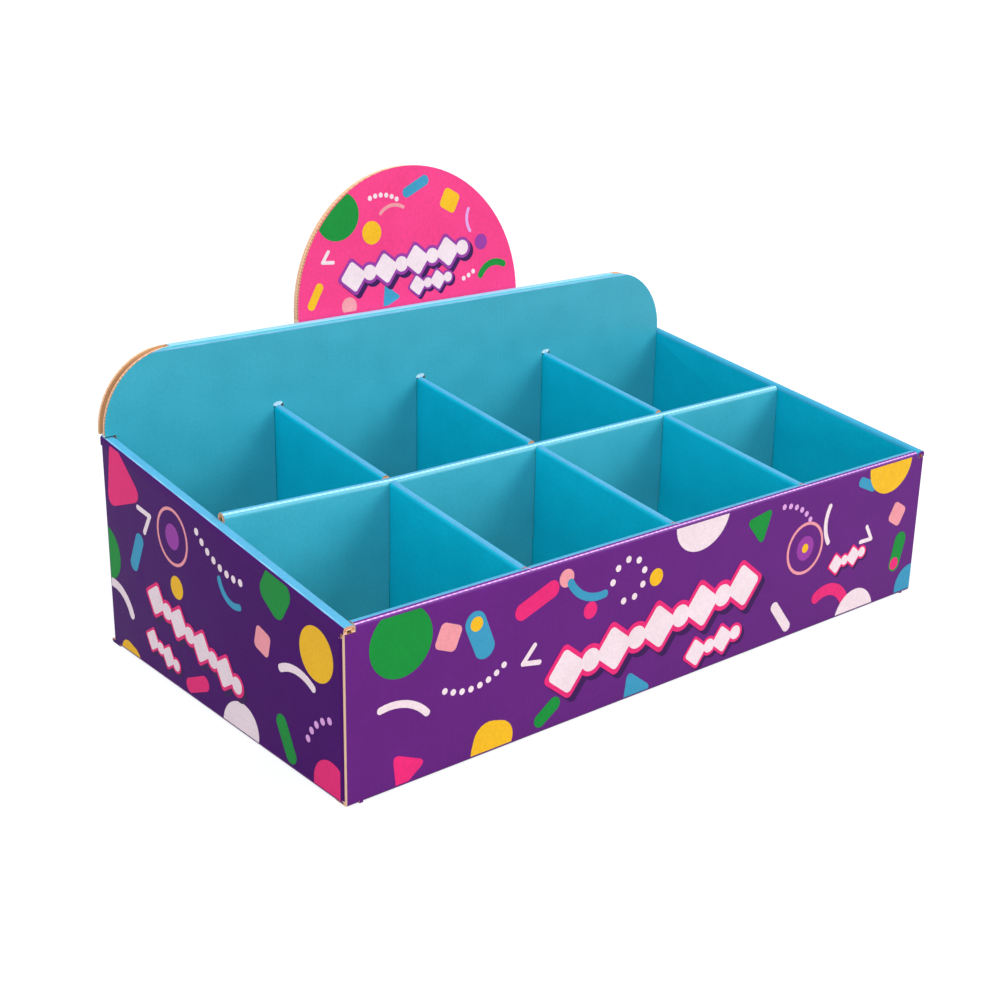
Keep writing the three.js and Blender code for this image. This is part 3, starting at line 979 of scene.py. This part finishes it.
class BOX_OT_header_print(bpy.types.Operator):
    """Prints the header card with like shapes, trimmed at its round rim"""

    bl_idname = "display_box.header_print"
    bl_label = "Print on the header card"

    def execute(self, context):
        rim = HEADER_RADIUS - 0.4 * MM
        limits = [((0, 1 * MM, 0), (0, -1, 0))]
        for step in range(48):
            angle = math.pi * (step + 0.5) / 48
            direction = (math.cos(angle), math.sin(angle), 0)
            limits.append((tuple(rim * part for part in direction), direction))
        up = Vector((0, math.sin(HEADER_LEAN), math.cos(HEADER_LEAN)))
        print_panel(context, "header_print", HEADER_PRINT,
                    panel_place(Vector((0, BACK_Y, BACK_TOP)), Vector((1, 0, 0)), up),
                    limits)
        return {"FINISHED"}


# Camera place in metres and its angles in degrees; the lens is in millimetres
CAMERA_PLACE = Vector((-0.54224, -0.61837, 0.36184))
CAMERA_TURN = -40.2386
CAMERA_TILT = 19.7826
CAMERA_ROLL = 1.1068
CAMERA_LENS = 57.33

# The floor lies just under the box, so that the two faces don't meet
FLOOR_RADIUS = 9
FLOOR_HEIGHT = -0.02 * MM

# Light from the shaded side is a little cooler
SHADE_TINT = (0.9, 0.96, 1.04)


def soft_sun(name, strength, direction, width, tint=(1, 1, 1)):
    """A wide sun that shines along a direction."""
    bpy.ops.object.light_add(type="SUN")
    lamp = bpy.context.object
    lamp.name = name
    lamp.data.energy = strength
    lamp.data.color = tint
    lamp.data.angle = math.radians(width)
    lamp.rotation_euler = Vector(direction).to_track_quat("-Z", "Y").to_euler()


class BOX_OT_stage(bpy.types.Operator):
    """Sets the pale floor, the soft lights, the world and the camera"""

    bl_idname = "display_box.stage"
    bl_label = "Stage"

    def execute(self, context):
        levels = context.scene.studio_levels
        if context.object and context.object.mode != "OBJECT":
            bpy.ops.object.mode_set(mode="OBJECT")
        bpy.ops.object.select_all(action="DESELECT")
        bpy.ops.mesh.primitive_circle_add(
            vertices=96, radius=FLOOR_RADIUS, fill_type="NGON", location=(0, 0, FLOOR_HEIGHT))
        floor = context.object
        floor.name = "floor"
        floor.data.materials.append(self.floor_paper())
        soft_sun("key_light", levels.key, (-0.64, 0.62, -0.47), 34)
        soft_sun("fill_light", levels.fill, (0.45, 0.32, -0.83), 60, SHADE_TINT)
        self.set_world(context, levels.world)
        self.set_camera(context)
        context.scene.view_settings.view_transform = "Standard"
        return {"FINISHED"}

    @staticmethod
    def floor_paper():
        """White background paper: matt, and as bright as the world where the camera sees it."""
        material, tree, surface, place = new_material("Background paper")
        grain = add_node(tree, "ShaderNodeTexNoise", {"Vector": place, "Scale": 1 / (4 * MM), "Detail": 2.0})
        tone = add_node(tree, "ShaderNodeMapRange", {
            "Value": grain.outputs["Fac"], "To Min": 0.36, "To Max": 0.38})
        tree.links.new(tone.outputs["Result"], surface.inputs["Base Color"])
        surface.inputs["Roughness"].default_value = 0.9
        seen = add_node(tree, "ShaderNodeLightPath").outputs["Is Camera Ray"]
        lift = add_node(tree, "ShaderNodeMath", {0: seen, 1: 0.66}, operation="MULTIPLY")
        surface.inputs["Emission Color"].default_value = (1, 1, 1, 1)
        tree.links.new(lift.outputs["Value"], surface.inputs["Emission Strength"])
        return material

    @staticmethod
    def set_world(context, strength):
        """Even light all round, white where the camera sees it, straight or through a clear thing."""
        world = bpy.data.worlds.new("Studio")
        world.use_nodes = True
        tree = world.node_tree
        tree.nodes.clear()
        path = add_node(tree, "ShaderNodeLightPath")
        seen = add_node(tree, "ShaderNodeMath", {
            0: path.outputs["Is Camera Ray"], 1: path.outputs["Is Transmission Ray"]}, operation="MAXIMUM")
        level = add_node(tree, "ShaderNodeMapRange", {
            "Value": seen.outputs["Value"], "To Min": strength, "To Max": 1.0})
        tint = add_node(tree, "ShaderNodeMix", {
            0: seen.outputs["Value"], 6: (*SHADE_TINT, 1), 7: (1, 1, 1, 1)}, data_type="RGBA")
        light = add_node(tree, "ShaderNodeBackground", {
            "Color": tint.outputs[2], "Strength": level.outputs["Result"]})
        add_node(tree, "ShaderNodeOutputWorld", {"Surface": light.outputs["Background"]})
        context.scene.world = world

    @staticmethod
    def set_camera(context):
        """Stands the camera where the picture was taken from."""
        turn, tilt, roll = (math.radians(a) for a in (CAMERA_TURN, CAMERA_TILT, CAMERA_ROLL))
        ahead = Vector((-math.sin(turn) * math.cos(tilt), math.cos(turn) * math.cos(tilt), -math.sin(tilt)))
        level_right = ahead.cross(Vector((0, 0, 1))).normalized()
        level_up = level_right.cross(ahead)
        right = math.cos(roll) * level_right + math.sin(roll) * level_up
        up = -math.sin(roll) * level_right + math.cos(roll) * level_up
        bpy.ops.object.camera_add()
        camera = context.object
        camera.name = "camera"
        turned = Matrix((right, up, -ahead)).transposed().to_4x4()
        camera.matrix_world = Matrix.Translation(CAMERA_PLACE) @ turned
        camera.data.sensor_width = 36
        camera.data.lens = CAMERA_LENS
        camera.data.clip_start = 0.01
        context.scene.camera = camera


OPERATORS = (
    BOX_OT_tray, BOX_OT_header, BOX_OT_dividers, BOX_OT_walls_print, BOX_OT_slot_wear, BOX_OT_header_print,
    BOX_OT_stage,
)


class BOX_PT_panel(bpy.types.Panel):
    """Lists the box's steps, sizes and colours"""

    bl_label = "Counter Display Box"
    bl_idname = "BOX_PT_panel"
    bl_space_type = "VIEW_3D"
    bl_region_type = "UI"
    bl_category = "Display Box"

    def draw(self, context):
        for operator in OPERATORS:
            self.layout.operator(operator.bl_idname)
        for name in ("board_sizes", "print_colours", "studio_levels"):
            group = getattr(context.scene, name)
            column = self.layout.column()
            for key in group.__annotations__:
                column.prop(group, key)


GROUPS = {"board_sizes": BoardSizes, "print_colours": PrintColours, "studio_levels": StudioLevels}


def register():
    for group in GROUPS.values():
        bpy.utils.register_class(group)
    for made in (*OPERATORS, BOX_PT_panel):
        bpy.utils.register_class(made)
    for name, group in GROUPS.items():
        setattr(bpy.types.Scene, name, bpy.props.PointerProperty(type=group))


def unregister():
    for name in GROUPS:
        delattr(bpy.types.Scene, name)
    for made in (BOX_PT_panel, *reversed(OPERATORS), *GROUPS.values()):
        bpy.utils.unregister_class(made)


def main():
    """Builds the whole box."""
    register()
    bpy.ops.display_box.tray()
    bpy.ops.display_box.header()
    bpy.ops.display_box.dividers()
    bpy.ops.display_box.walls_print()
    bpy.ops.display_box.slot_wear()
    bpy.ops.display_box.header_print()
    bpy.ops.display_box.stage()


if __name__ == "__main__":
    main()
